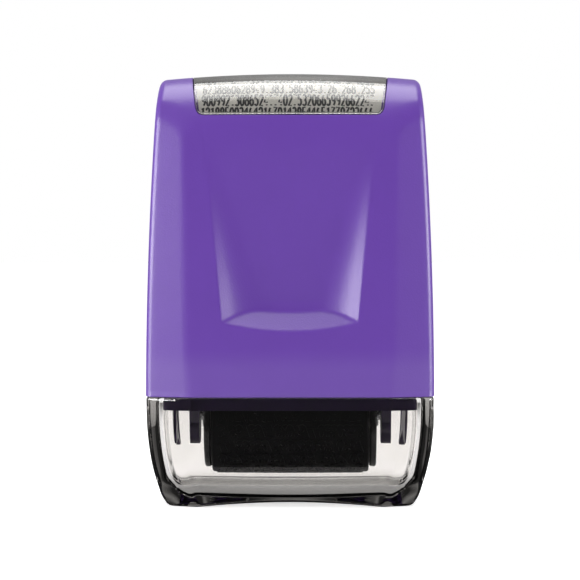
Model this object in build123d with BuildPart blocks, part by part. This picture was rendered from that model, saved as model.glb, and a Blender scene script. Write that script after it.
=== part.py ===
"""Privacy roller stamp: a hand roller that prints a masking pattern over private text.

A tapered plastic case holds a clip-in chassis with two fork arms.  A refill cartridge slides
up between the arms and carries a rubber printing roller, an ink roller that two small springs
press against it, and a cover.  A thick clear cap closes the bottom, and the stamp stands on it.
A clear lens over the top of the case shows a sample of the printed pattern.

Units are millimetres.  Z is up, X runs along the rollers, the front faces -Y, and the origin is
the centre of the ground under the cap.
"""

import os
from math import cos, radians, sqrt, tan

from build123d import *

os.makedirs("parts", exist_ok=True)

# Clearances shared by pieces that meet
cut_over = 6.0  # how far a cutting tool runs past what it cuts
seam_gap = 0.1  # cap rim to case edge
slide_gap = 0.2  # pieces that slide past or lift off each other
clip_gap = 0.06  # pieces that are clipped together for good
shaft_gap = 0.05  # radial, a roller on its axle
nip_gap = 0.3  # ink roller to printing roller

# Cap
cap_height = 22.0
cap_wall = 2.65
cap_floor = 3.0
cap_rim_step = 0.1  # rim stands back from the case's surface
cap_inner_corner = 1.6
cap_floor_round = 1.4  # where the well's floor meets its walls
cap_height_share = (0, 0.1, 0.21, 0.35, 0.52, 0.7, 0.85, 1)  # heights of the cap's sections
cap_draw_share = (1, 0.7, 0.51, 0.305, 0.145, 0.045, 0.01, 0)  # how far each one draws in
cap_draw = 4.1  # draw of the lowest section
cap_facet_width = 6.7  # slanted corner band of the cap
cap_foot_round = 0.8
arch_rise = 1.0
arch_half_length = 18.5
pad_width = 15.0
pad_height = 12.0
pad_centre_z = 13.4
pad_proud = 0.45

# Case
side_reach = 12.8  # case's side beyond the printing roller's end
front_reach = 5.1  # case's front beyond the printing roller
case_height = 64.2
shoulder_draw = 2.5  # how far each side draws in from the lower edge to the crown
side_bulge = 0.6
crown_rise = 1.5
band_height = 7.2
band_flare = 0.5
top_draw = 2.7  # how far the front leans back from the band to the crown
crown_flat = 3.8  # depth of the crown between its two ridges
edge_round = 1.6
facet_width_low = 8.6
facet_width_high = 4.9
facet_angle = 16.0
case_wall = 2.2
mouth_depth = 2.5
cavity_room = 2.1  # between the cartridge's neck and the hollow's wall
cavity_roof_draw = 5.4
cavity_roof_drop = 6.3  # crown down to the cavity's roof
cavity_shoulder_drop = 14.5
cavity_taper = 7.4  # height over which the hollow narrows above the bay

# Thumb scoops, front and back
scoop_top_drop = 16.3
scoop_bottom_rise = 13.4
scoop_top_width = 33.4
scoop_bottom_width = 26.6
scoop_depth = 2.7
scoop_ledge = 5.4  # height of the sloping ledge at the bottom
scoop_cove = 7.6
scoop_corner = 3.4
scoop_bow = 1.1
scoop_top_corner = 5.0

# Window lens and the printed card under it
window_side_high = 6.4  # from the case's shoulder to the window's upper corner
window_side_low = 7.55
window_drop = 8.6
window_corner = 1.5
lens_thickness = 1.3
card_thickness = 0.35
card_margin = 0.5

# Printing roller and its axle
roller_radius = 12.0
roller_width = 31.4
roller_ground = 6.0  # roller's lowest line above the ground
sleeve_thickness = 2.2
core_rim = 1.3
core_hub_radius = 3.4
core_web = 1.2
core_web_inset = 2.4
core_hub_inset = 0.7
core_hole_radius = 2.1
core_hole_count = 6
axle_radius = 1.5
washer_radius = 3.0
clip_radius = 2.7
clip_thickness = 0.5
clip_mouth = 2.1

# Ink roller, its floating blocks and springs
ink_radius = 8.0
ink_core_radius = 4.8
ink_core_hub = 2.4
ink_axle_radius = 1.25
ink_lift = 1.2
block_depth = 4.8
block_above = 2.7
block_below = 2.4
spring_wire = 0.3
spring_radius = 0.9
spring_turns = 7
peg_radius = 0.5
peg_length = 1.3

# Cartridge
cheek = 1.3
cheek_step = 1.3  # roller's surface back to the cheek's round end
frame_wall = 1.2
frame_boss = 2.7  # thickened ends that guide the floating blocks
frame_skin = 0.45  # left outside each block's slot
frame_shelf = 1.2  # under each block's slot
frame_skirt_drop = 6.0  # roller's top line down to the lower edge of the long walls
frame_neck_rise = 4.0  # roller's top line up to the narrow neck
frame_step = 0.6  # long walls beyond the roller's surface
cover_thickness = 1.4
cover_lip = 0.8

# Chassis
plate_thickness = 2.4
lip_height = 2.7
lip_wall = 1.3
bay_wall = 1.2
bay_rise = 8.6
arm_thickness = 2.0
arm_gap = 1.05  # arm to cartridge cheek below the bay
arm_radius = 4.6
arm_drop = 6.3  # axle centre down to the arm's tip
arm_top_half_depth = 7.4
gusset_thickness = 1.2
gusset_reach = 4.0
gusset_half_spacing = 8.0
snap_width = 6.0
snap_height = 1.2
snap_depth = 0.5
snap_half_spacing = 12.0

# Levels and half sizes that several pieces share
case_width = roller_width + 2 * side_reach
case_depth = 2 * (roller_radius + front_reach)
case_edge_z = cap_height + seam_gap
crown_z = case_edge_z + case_height
band_z = case_edge_z + band_height
half_width = case_width / 2
half_depth = case_depth / 2
shoulder_half_width = half_width - shoulder_draw
facet_x_low = half_width - facet_width_low
facet_x_high = shoulder_half_width - facet_width_high
panel_half_depth = half_depth - band_flare
crown_half_depth = panel_half_depth - top_draw
crown_round = crown_half_depth - crown_flat / 2
axle_z = roller_ground + roller_radius
ink_z = axle_z + roller_radius + nip_gap + ink_radius
roller_half = roller_width / 2
roller_top_z = axle_z + roller_radius
cheek_lobe = roller_radius - cheek_step
frame_half_depth = roller_radius + frame_step
cheek_inner = roller_half + slide_gap
cheek_outer = cheek_inner + cheek
bay_half_width = cheek_outer + slide_gap
bay_half_depth = frame_half_depth + slide_gap
frame_neck_half_depth = ink_radius + nip_gap + frame_wall
cavity_half_depth = frame_neck_half_depth + cavity_room
cavity_roof_half_depth = cavity_half_depth - cavity_roof_draw
frame_top_z = ink_z + ink_radius + ink_lift + slide_gap + cover_lip + slide_gap
cover_top_z = frame_top_z + cover_thickness
boss_inner = cheek_outer - frame_boss
facet_slope = tan(radians(facet_angle))
lip_inset = cap_wall + slide_gap


def plan_points(inset):
    """Corners of the faceted plan shape that case, cap and chassis share, drawn in by inset."""
    width = half_width - inset
    depth = half_depth - inset
    break_x = facet_x_low - inset * tan(radians(facet_angle) / 2)
    side_y = depth - (width - break_x) * facet_slope
    quarter = [(break_x, depth), (width, side_y)]
    right = quarter + [(x, -y) for x, y in reversed(quarter)]
    return right + [(-x, y) for x, y in reversed(right)]


def plan_sketch(z, inset, corner):
    """The plan shape as a level sketch, with its four outer corner pairs rounded."""
    with BuildSketch(Plane.XY.offset(z)) as plan:
        Polygon(*plan_points(inset), align=None)
        outer = plan.vertices().group_by(Axis.X)
        fillet(outer[0] + outer[-1], radius=corner)
    return plan.sketch


def case_block(inset):
    """The case's front and back surfaces under its crowned top, inset inwards all over."""
    wide = half_width + cut_over
    with BuildSketch(Plane.YZ) as side:
        with BuildLine():
            Polyline(
                (0, case_edge_z),
                (half_depth - inset, case_edge_z),
                (panel_half_depth - inset, band_z),
                (crown_half_depth - inset, crown_z),
                (0, crown_z),
            )
            mirror(about=Plane.YZ)
        make_face()
    with BuildSketch(Plane.XZ) as front:
        with BuildLine():
            crown_radius = (half_width**2 + crown_rise**2) / (2 * crown_rise) - inset
            arc_drop = crown_radius - sqrt(crown_radius**2 - wide**2)
            top_z = crown_z - inset
            ThreePointArc((-wide, top_z - arc_drop), (0, top_z), (wide, top_z - arc_drop))
            Polyline(
                (wide, top_z - arc_drop),
                (wide, case_edge_z),
                (-wide, case_edge_z),
                (-wide, top_z - arc_drop),
            )
        make_face()
    with BuildPart() as block:
        extrude(side.sketch, amount=wide, both=True)
        extrude(front.sketch, amount=half_depth + cut_over, both=True, mode=Mode.INTERSECT)
        ridges = block.edges().filter_by(lambda edge: abs(edge.tangent_at(0.5).X) > cos(radians(30)))
        fillet(ridges.group_by(Axis.Z)[-1], radius=crown_round - inset)
    return block.part


def window_prism(gap):
    """The window's outline run through the case from front to back."""
    low_z = crown_z - window_drop + gap
    high_z = crown_z + cut_over
    flare = (window_side_low - window_side_high) / window_drop
    low = shoulder_half_width - window_side_low - gap
    high = low + (high_z - low_z) * flare
    with BuildSketch(Plane.XZ) as outline:
        with BuildLine():
            Polyline((0, low_z), (low, low_z), (high, high_z), (0, high_z))
            mirror(about=Plane.YZ)
        make_face()
        fillet(outline.vertices().group_by(Axis.Y)[0], radius=window_corner - gap)
    with BuildPart() as prism:
        extrude(outline.sketch, amount=half_depth, both=True)
    return prism.part


def snap_bars(gap):
    """Four short bars on the chassis plate that click into the case's mouth."""
    reach = half_depth - case_wall - clip_gap + snap_depth + gap
    middle_z = case_edge_z + plate_thickness / 2
    with BuildPart() as bars:
        with GridLocations(2 * snap_half_spacing, 0, 2, 1):
            with Locations((0, 0, middle_z)):
                Box(snap_width + 2 * gap, 2 * reach, snap_height + 2 * gap)
    return bars.part


def axle_pin(radius, half_length, z):
    """A round pin along X at height z, with small chamfers at its ends."""
    with BuildPart() as pin:
        with Locations(Location((0, 0, z), (0, 90, 0))):
            Cylinder(radius, 2 * half_length)
        chamfer(pin.edges().filter_by(GeomType.CIRCLE), length=radius / 5)
    return pin.part


def roller_ring(outer, inner, half_length, z):
    """A plain tube along X at height z."""
    with BuildPart() as ring:
        with Locations(Location((0, 0, z), (0, 90, 0))):
            Cylinder(outer, 2 * half_length)
            Cylinder(inner, 2 * half_length + cut_over, mode=Mode.SUBTRACT)
    return ring.part


# Case outline: leaning sides with a slight bulge
side_mid_x = (half_width + shoulder_half_width) / 2 + side_bulge
with BuildSketch(Plane.XZ) as case_outline:
    with BuildLine():
        low_corner = (half_width, case_edge_z)
        high_corner = (shoulder_half_width, crown_z)
        ThreePointArc(low_corner, (side_mid_x, (case_edge_z + crown_z) / 2), high_corner)
        above_crown = (shoulder_half_width, crown_z + cut_over)
        Polyline(high_corner, above_crown, (0, crown_z + cut_over))
        mirror(about=Plane.YZ)
        Line(low_corner, (-half_width, case_edge_z))
    make_face()

# Corner band cutters: a flat facet that leans back with the front panel
facet_low_y = panel_half_depth + top_draw * band_height / (crown_z - band_z)
facet_reach = (facet_x_low + half_width) * facet_slope
with BuildSketch(Plane.YZ) as facet_outline:
    Polygon(
        (-facet_low_y - facet_x_low * facet_slope, case_edge_z),
        (-crown_half_depth - facet_x_high * facet_slope, crown_z),
        (-half_depth - cut_over - facet_reach, crown_z),
        (-half_depth - cut_over - facet_reach, case_edge_z),
        align=None,
    )
with BuildPart() as facet_tool:
    extrude(facet_outline.sketch, amount=half_width + cut_over, dir=(1, facet_slope, 0))
    mirror(about=Plane.XZ)
    mirror(about=Plane.YZ)

# Outer form of the case with its lens in place
case_blank = case_block(0)
with BuildPart() as case_form:
    add(case_blank)
    extrude(case_outline.sketch, amount=half_depth + cut_over, both=True, mode=Mode.INTERSECT)
    add(facet_tool.part, mode=Mode.SUBTRACT)
    sides = case_form.faces().filter_by(lambda face: abs(face.normal_at().X) > cos(radians(20)))
    rim = sides.edges().filter_by(lambda edge: edge.center().Z > case_edge_z + clip_gap)
    fillet(rim, radius=edge_round)

# Thumb scoop, cut where three tools agree: its front outline, its floor with the sloping
# ledge, and its coved side walls
scoop_top_z = crown_z - scoop_top_drop
scoop_low_z = case_edge_z + scoop_bottom_rise
scoop_deep_z = scoop_low_z + scoop_ledge
panel_lean = top_draw / (crown_z - band_z)


def panel_y(z):
    """How far the front panel stands from the middle plane at height z above the band."""
    return panel_half_depth - panel_lean * (z - band_z)


with BuildSketch(Plane.XZ) as scoop_outline:
    with BuildLine():
        top_x = scoop_top_width / 2
        low_x = scoop_bottom_width / 2
        Polyline(
            (-low_x, scoop_low_z + scoop_bow),
            (-top_x, scoop_top_z),
            (top_x, scoop_top_z),
            (low_x, scoop_low_z + scoop_bow),
        )
        bow_low = (0, scoop_low_z)
        ThreePointArc((low_x, scoop_low_z + scoop_bow), bow_low, (-low_x, scoop_low_z + scoop_bow))
    make_face()
    outline_corners = scoop_outline.vertices().group_by(Axis.Y)
    fillet(outline_corners[0], radius=scoop_corner)
    fillet(outline_corners[-1], radius=scoop_top_corner)
with BuildSketch(Plane.YZ) as scoop_floor:
    with BuildLine():
        deep_y = panel_y(scoop_deep_z) - scoop_depth
        Polyline(
            (-panel_y(scoop_top_z), scoop_top_z),
            (-deep_y, scoop_deep_z),
            (-panel_y(scoop_low_z), scoop_low_z),
            (-half_depth - cut_over, scoop_low_z),
            (-half_depth - cut_over, scoop_top_z),
            close=True,
        )
    make_face()
    deep_corner = scoop_floor.vertices().sort_by(Axis.X)[-1]
    fillet(deep_corner, radius=scoop_ledge)


def cove_section(z, half):
    """Plan of the scoop at height z: a flat floor that curves up to the panel at both sides."""
    edge_y = -panel_y(z)
    floor_y = edge_y + scoop_depth
    rise_share = 0.32  # height of the cove halfway along it
    with BuildSketch(Plane.XY.offset(z)) as section:
        with BuildLine():
            Line((0, floor_y), (half - scoop_cove, floor_y))
            cove_mid = (half - scoop_cove * 0.44, floor_y - scoop_depth * rise_share)
            ThreePointArc((half - scoop_cove, floor_y), cove_mid, (half, edge_y))
            Polyline((half, edge_y), (half, edge_y - cut_over), (0, edge_y - cut_over))
            mirror(about=Plane.YZ)
        make_face()
    return section.sketch


narrowing = (scoop_top_width - scoop_bottom_width) / 2 / (scoop_top_z - scoop_low_z)
cove_top = cove_section(scoop_top_z + cut_over, top_x + narrowing * cut_over)
cove_low = cove_section(scoop_low_z - cut_over, low_x - narrowing * cut_over)
with BuildPart() as scoop_tool:
    loft([cove_low, cove_top], ruled=True)
    extrude(scoop_outline.sketch, amount=half_depth + cut_over, mode=Mode.INTERSECT)
    extrude(scoop_floor.sketch, amount=half_width, both=True, mode=Mode.INTERSECT)
    mirror(about=Plane.XZ)

# Hollow inside the case, with the mouth that takes the chassis plate
cavity_half_width = half_width - case_wall - clip_gap
cavity_roof_z = crown_z - cavity_roof_drop
with BuildSketch(Plane.YZ) as cavity_side:
    with BuildLine():
        Polyline(
            (0, case_edge_z),
            (bay_half_depth + bay_wall + slide_gap, case_edge_z),
            (bay_half_depth + bay_wall + slide_gap, case_edge_z + bay_rise + slide_gap),
            (cavity_half_depth, case_edge_z + bay_rise + cavity_taper),
            (cavity_half_depth, crown_z - cavity_shoulder_drop),
            (cavity_roof_half_depth, cavity_roof_z),
            (0, cavity_roof_z),
        )
        mirror(about=Plane.YZ)
    make_face()
with BuildSketch(Plane.XZ) as cavity_front:
    with BuildLine():
        Polyline(
            (0, case_edge_z - cut_over),
            (cavity_half_width - edge_round, case_edge_z - cut_over),
            (cavity_half_width - edge_round, case_edge_z + case_height / 3),
            (cavity_half_width - edge_round - shoulder_draw / 2, cavity_roof_z),
            (0, cavity_roof_z),
        )
        mirror(about=Plane.YZ)
    make_face()
mouth = plan_sketch(case_edge_z, case_wall, edge_round)
with BuildPart() as cavity:
    extrude(cavity_side.sketch, amount=half_width, both=True)
    extrude(cavity_front.sketch, amount=half_depth, both=True, mode=Mode.INTERSECT)
    extrude(mouth, amount=mouth_depth)

# Window recess: the lens and the card lie on a saddle below the case's surface
card_top = lens_thickness + clip_gap
saddle_inset = card_top + card_thickness + clip_gap
lens_back = case_block(lens_thickness)
card_front = case_block(card_top)
card_back = case_block(card_top + card_thickness)
saddle = case_block(saddle_inset)
window_hole = window_prism(0)
with BuildPart() as window_recess:
    add(window_hole)
    add(saddle, mode=Mode.SUBTRACT)

with BuildPart() as case_shell:
    add(case_form.part)
    add(snap_bars(clip_gap), mode=Mode.SUBTRACT)
    add(scoop_tool.part, mode=Mode.SUBTRACT)
    add(cavity.part, mode=Mode.SUBTRACT)
    add(window_recess.part, mode=Mode.SUBTRACT)

with BuildPart() as window_lens:
    add(window_prism(slide_gap))
    add(case_blank, mode=Mode.INTERSECT)
    add(lens_back, mode=Mode.SUBTRACT)

with BuildPart() as imprint_card:
    add(window_prism(slide_gap + card_margin))
    add(card_front, mode=Mode.INTERSECT)
    add(card_back, mode=Mode.SUBTRACT)


# Chassis: a plate clipped into the case's mouth, a lip inside the cap, a bay that guides the
# cartridge, and two fork arms that take the axle's ends
lip_z = case_edge_z - lip_height
bay_top_z = case_edge_z + bay_rise
arm_inner = cheek_outer + arm_gap
arm_outer = arm_inner + arm_thickness
arm_tip_z = axle_z - arm_drop
lip_pocket = plan_sketch(lip_z, lip_inset + lip_wall, cap_inner_corner)
with BuildSketch(Plane.XY.offset(lip_z)) as bay_outside:
    Rectangle(2 * arm_outer, 2 * (bay_half_depth + bay_wall))
with BuildSketch(Plane.XY.offset(lip_z)) as bay_hole:
    Rectangle(2 * bay_half_width, 2 * bay_half_depth)
with BuildSketch(Plane.YZ) as arm_side:
    with BuildLine():
        Polyline(
            (-arm_radius, arm_tip_z + arm_radius),
            (-arm_top_half_depth, case_edge_z),
            (arm_top_half_depth, case_edge_z),
            (arm_radius, arm_tip_z + arm_radius),
        )
        ThreePointArc(
            (arm_radius, arm_tip_z + arm_radius),
            (0, arm_tip_z),
            (-arm_radius, arm_tip_z + arm_radius),
        )
    make_face()
with BuildSketch(Plane.YZ) as axle_slot:
    slot_half = axle_radius + shaft_gap
    with Locations((0, axle_z)):
        Circle(slot_half)
    with Locations((0, axle_z)):
        Rectangle(2 * slot_half, arm_drop + cut_over, align=(Align.CENTER, Align.MAX))
with BuildSketch(Plane.YZ) as clip_relief:
    with Locations((0, axle_z)):
        Circle(clip_radius + nip_gap)
        Rectangle(2 * (clip_radius + nip_gap), arm_drop, align=(Align.CENTER, Align.MAX))
with BuildSketch(Plane.XZ) as gusset_side:
    with BuildLine():
        gusset_x = bay_half_width + bay_wall
        gusset_z = case_edge_z + plate_thickness
        Polyline(
            (gusset_x, gusset_z),
            (gusset_x + gusset_reach, gusset_z),
            (gusset_x, bay_top_z),
            close=True,
        )
    make_face()

with BuildPart() as roller_chassis:
    extrude(plan_sketch(case_edge_z, case_wall + clip_gap, edge_round), amount=plate_thickness)
    extrude(plan_sketch(lip_z, lip_inset, cap_inner_corner), amount=lip_height)
    extrude(lip_pocket, amount=lip_height, mode=Mode.SUBTRACT)
    extrude(bay_outside.sketch, amount=lip_height)
    with Locations((0, 0, case_edge_z)):
        Box(
            2 * (bay_half_width + bay_wall),
            2 * (bay_half_depth + bay_wall),
            bay_rise,
            align=(Align.CENTER, Align.CENTER, Align.MIN),
        )
    extrude(arm_side.sketch, amount=arm_outer, both=True)
    for side in (-1, 1):
        for y in (-gusset_half_spacing, gusset_half_spacing):
            with BuildSketch(Plane.XZ.offset(-y)) as gusset:
                add(gusset_side.sketch)
            extrude(gusset.sketch, amount=gusset_thickness / 2, both=True)
    mirror(about=Plane.YZ)
    add(snap_bars(0))
    extrude(bay_hole.sketch, amount=lip_height + bay_rise, mode=Mode.SUBTRACT)
    with Locations((0, 0, lip_z)):
        Box(
            2 * arm_inner,
            2 * bay_half_depth,
            arm_drop + cut_over,
            align=(Align.CENTER, Align.CENTER, Align.MAX),
            mode=Mode.SUBTRACT,
        )
    extrude(axle_slot.sketch, amount=arm_outer, both=True, mode=Mode.SUBTRACT)
    extrude(clip_relief.sketch, amount=arm_inner, both=True, mode=Mode.SUBTRACT)


# Cartridge frame: cheeks that carry the printing roller's axle, long walls and a narrow neck
skirt_z = roller_top_z - frame_skirt_drop
frame_outer_points = (
    (frame_half_depth, skirt_z),
    (frame_half_depth, roller_top_z),
    (frame_neck_half_depth, roller_top_z + frame_neck_rise),
    (frame_neck_half_depth, frame_top_z),
)
boss_z = ink_z - block_below - clip_gap - frame_shelf
slot_floor_z = ink_z - block_below - clip_gap
slot_outer = cheek_outer - frame_skin
neck_inner = frame_neck_half_depth - frame_wall


def frame_profile(wall):
    """Side profile of the cartridge's walls, drawn in by the wall."""
    points = [(y - wall, z) for y, z in frame_outer_points]
    with BuildSketch(Plane.YZ) as profile:
        with BuildLine():
            Polyline((0, skirt_z), *points, (0, frame_top_z))
            mirror(about=Plane.YZ)
        make_face()
    return profile.sketch


with BuildSketch(Plane.YZ) as cheek_side:
    with Locations((0, axle_z)):
        Circle(cheek_lobe)
        lobe_top = skirt_z + frame_wall - axle_z
        Rectangle(2 * cheek_lobe, lobe_top, align=(Align.CENTER, Align.MIN))
with BuildPart() as cartridge_frame:
    extrude(frame_profile(0), amount=cheek_outer, both=True)
    extrude(cheek_side.sketch, amount=cheek_outer, both=True)
    extrude(cheek_side.sketch, amount=cheek_inner, both=True, mode=Mode.SUBTRACT)
    extrude(frame_profile(frame_wall), amount=cheek_inner, both=True, mode=Mode.SUBTRACT)
    for side in (-1, 1):
        with Locations((side * cheek_outer, 0, boss_z)):
            end = Align.MAX if side > 0 else Align.MIN
            Box(
                frame_boss,
                2 * neck_inner + frame_wall,
                frame_top_z - boss_z,
                align=(end, Align.CENTER, Align.MIN),
            )
        with Locations((side * slot_outer, 0, slot_floor_z)):
            Box(
                frame_boss + cut_over,
                block_depth + slide_gap,
                frame_top_z,
                align=(end, Align.CENTER, Align.MIN),
                mode=Mode.SUBTRACT,
            )
    add(axle_pin(axle_radius + clip_gap / 2, cheek_outer + cut_over, axle_z), mode=Mode.SUBTRACT)
    lobe_rims = cartridge_frame.edges().filter_by(GeomType.CIRCLE).filter_by(
        lambda edge: edge.radius == cheek_lobe
    )
    chamfer(lobe_rims, length=cheek / 5)

# Cover with a locating lip and a guide peg for each spring
spring_x = (boss_inner + slot_outer) / 2
with BuildPart() as cartridge_cover:
    with Locations((0, 0, frame_top_z)):
        Box(
            2 * cheek_outer,
            2 * frame_neck_half_depth,
            cover_thickness,
            align=(Align.CENTER, Align.CENTER, Align.MIN),
        )
    fillet(cartridge_cover.edges().filter_by(Axis.Z), radius=cover_lip)
    chamfer(cartridge_cover.faces().sort_by(Axis.Z)[-1].edges(), length=cover_lip / 2)
    with Locations((0, 0, frame_top_z)):
        Box(
            2 * (boss_inner - slide_gap),
            2 * (neck_inner - slide_gap),
            cover_lip,
            align=(Align.CENTER, Align.CENTER, Align.MAX),
        )
    with Locations((spring_x, 0, frame_top_z), (-spring_x, 0, frame_top_z)):
        Cylinder(peg_radius, peg_length, align=(Align.CENTER, Align.CENTER, Align.MAX))

# Printing roller: moulded core with a hub and two pierced webs, rubber sleeve, washers, axle
def roller_core(outer, bore, z, half, hub, hub_half, rim, web_inset):
    """A moulded roller core along X at height z, ready for its sleeve."""
    with BuildSketch(Plane.XZ) as section:
        with Locations((0, z)):
            with Locations((0, outer)):
                Rectangle(2 * half, rim, align=(Align.CENTER, Align.MAX))
            with Locations((0, bore)):
                Rectangle(2 * hub_half, hub - bore, align=(Align.CENTER, Align.MIN))
            web_x = half - web_inset
            with Locations((web_x, bore), (-web_x, bore)):
                web_height = outer - bore - rim / 2
                Rectangle(core_web, web_height, align=(Align.CENTER, Align.MIN))
    with BuildPart() as core:
        revolve(section.sketch, axis=Axis((0, 0, z), (1, 0, 0)))
    return core.part


sleeve_inner = roller_radius - sleeve_thickness
with BuildPart() as print_roller_core:
    add(
        roller_core(
            sleeve_inner,
            axle_radius + shaft_gap,
            axle_z,
            roller_half,
            core_hub_radius,
            roller_half - core_hub_inset,
            core_rim,
            core_web_inset,
        )
    )
    hole_circle = (core_hub_radius + sleeve_inner - core_rim) / 2
    with Locations(Location((0, 0, axle_z), (0, 90, 0))):
        with PolarLocations(hole_circle, core_hole_count):
            Cylinder(core_hole_radius, roller_width + cut_over, mode=Mode.SUBTRACT)
with BuildPart() as print_sleeve:
    add(roller_ring(roller_radius, sleeve_inner, roller_half, axle_z))

washer_length = core_hub_inset + slide_gap - 2 * shaft_gap
washer_x = roller_half - core_hub_inset + shaft_gap + washer_length / 2
axle_half = arm_outer - nip_gap
with BuildPart() as print_axle:
    add(axle_pin(axle_radius, axle_half, axle_z))
clip_x = cheek_outer + shaft_gap + clip_thickness / 2


def axle_spacer(side):
    """The spacer washer between the core's hub and a cheek, right for side 1."""
    washer = roller_ring(washer_radius, axle_radius + shaft_gap, washer_length / 2, axle_z)
    with BuildPart() as spacer:
        with Locations((side * washer_x, 0, 0)):
            add(washer)
    return spacer


def axle_clip(side):
    """The open spring clip outside a cheek, right for side 1."""
    ring = roller_ring(clip_radius, axle_radius + shaft_gap, clip_thickness / 2, axle_z)
    with BuildPart() as clip:
        with Locations((side * clip_x, 0, 0)):
            add(ring)
        with Locations((side * clip_x, 0, axle_z)):
            Box(
                clip_thickness + cut_over,
                clip_mouth,
                clip_radius + cut_over,
                align=(Align.CENTER, Align.CENTER, Align.MIN),
                mode=Mode.SUBTRACT,
            )
    return clip


spacer_right = axle_spacer(1)
spacer_left = axle_spacer(-1)
axle_clip_right = axle_clip(1)
axle_clip_left = axle_clip(-1)

# Ink roller on its own axle, held by two floating blocks
ink_half = boss_inner - slide_gap
with BuildPart() as ink_roller_core:
    add(
        roller_core(
            ink_core_radius,
            ink_axle_radius + shaft_gap,
            ink_z,
            ink_half,
            ink_core_hub,
            ink_half,
            core_web,
            core_web_inset,
        )
    )
with BuildPart() as ink_roller_felt:
    add(roller_ring(ink_radius, ink_core_radius, ink_half - shaft_gap, ink_z))
block_outer = slot_outer - shaft_gap
block_inner = boss_inner + shaft_gap
with BuildPart() as ink_axle:
    add(axle_pin(ink_axle_radius, block_outer - shaft_gap, ink_z))


def ink_block(side):
    """One floating block, right for side 1 and left for side -1, with its spring peg."""
    with BuildPart() as block:
        with Locations((side * (block_inner + block_outer) / 2, 0, ink_z - block_below)):
            Box(
                block_outer - block_inner,
                block_depth,
                block_above + block_below,
                align=(Align.CENTER, Align.CENTER, Align.MIN),
            )
        fillet(block.edges().filter_by(Axis.X), radius=peg_radius)
        with Locations((side * spring_x, 0, ink_z + block_above)):
            Cylinder(peg_radius, peg_length, align=(Align.CENTER, Align.CENTER, Align.MIN))
        with Locations(Location((0, 0, ink_z), (0, 90, 0))):
            Cylinder(ink_axle_radius + clip_gap / 2, 2 * block_outer + cut_over, mode=Mode.SUBTRACT)
    return block


def pressure_spring(side):
    """One small compression spring between a floating block and the cover."""
    low_z = ink_z + block_above + spring_wire / 2 + clip_gap
    high_z = frame_top_z - spring_wire / 2 - clip_gap
    with BuildPart() as spring:
        with BuildLine():
            coil = Helix((high_z - low_z) / spring_turns, high_z - low_z, spring_radius)
        with BuildSketch(Plane(origin=coil @ 0, z_dir=coil % 0)):
            Circle(spring_wire / 2)
        sweep(is_frenet=True)
    return spring.part.moved(Location((side * spring_x, 0, low_z)))


ink_bearing_right = ink_block(1)
ink_bearing_left = ink_block(-1)
with BuildPart() as pressure_spring_right:
    add(pressure_spring(1))
with BuildPart() as pressure_spring_left:
    add(pressure_spring(-1))


# Cap: a thick clear trough whose sides draw in towards the ground
def cap_draw_at(z):
    """The cap's draw at height z, read off its table of sections."""
    rows = list(zip(cap_height_share, cap_draw_share))
    share = min(max(z / cap_height, 0), 1)
    for (low, low_draw), (high, high_draw) in zip(rows, rows[1:]):
        if share <= high:
            part_way = (share - low) / (high - low)
            return cap_draw * (low_draw + part_way * (high_draw - low_draw)) + cap_rim_step
    return cap_rim_step


def cap_outside(z, inset, corner):
    """The cap's outer plan at height z: its corner bands are narrower than the case's and meet
    the same corners."""
    with BuildSketch(Plane.XY.offset(z)) as plan:
        width = half_width - inset
        depth = half_depth - inset
        break_x = width - cap_facet_width
        corner_y = depth - facet_width_low * facet_slope
        quarter = [(break_x, depth), (width, corner_y)]
        right = quarter + [(x, -y) for x, y in reversed(quarter)]
        Polygon(*right, *[(-x, y) for x, y in reversed(right)], align=None)
        outer = plan.vertices().group_by(Axis.X)
        fillet(outer[0] + outer[-1], radius=corner)
    return plan.sketch


def cap_inside(z, inset, corner):
    """The cap's well at height z: a plain rectangle with rounded corners."""
    with BuildSketch(Plane.XY.offset(z)) as plan:
        RectangleRounded(2 * (half_width - inset), 2 * (half_depth - inset), corner)
    return plan.sketch


def cap_form(section, inset, corner, floor_z):
    """One of the cap's forms from floor_z to its rim, drawn in all round by inset."""
    levels = [share * cap_height for share in cap_height_share]
    heights = [floor_z] + [z for z in levels if z > floor_z + cap_wall / 2]
    sections = [section(z, cap_draw_at(z) + inset, corner) for z in heights]
    with BuildPart() as form:
        loft(sections)
    return form.part


cap_blank = cap_form(cap_outside, 0, edge_round, 0)
with BuildPart() as cap_well:
    add(cap_form(cap_inside, cap_wall, cap_inner_corner, cap_floor))
    fillet(cap_well.edges().group_by(Axis.Z)[0], radius=cap_floor_round)
arch_radius = (arch_half_length**2 + arch_rise**2) / (2 * arch_rise)
with BuildSketch(Plane.YZ) as pad_face:
    with Locations((0, pad_centre_z)):
        RectangleRounded(pad_width, pad_height, pad_height / 3)
with BuildPart() as grip_pads:
    add(cap_form(cap_outside, -pad_proud, edge_round + pad_proud, 0))
    extrude(pad_face.sketch, amount=half_width + cut_over, both=True, mode=Mode.INTERSECT)
with BuildPart() as cap:
    add(cap_blank)
    add(grip_pads.part)
    fillet(cap.edges().group_by(Axis.Z)[0], radius=cap_foot_round)
    add(cap_well.part, mode=Mode.SUBTRACT)
    with Locations(Location((0, 0, arch_rise - arch_radius), (90, 0, 0))):
        Cylinder(arch_radius, case_depth + cut_over, mode=Mode.SUBTRACT)

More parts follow.
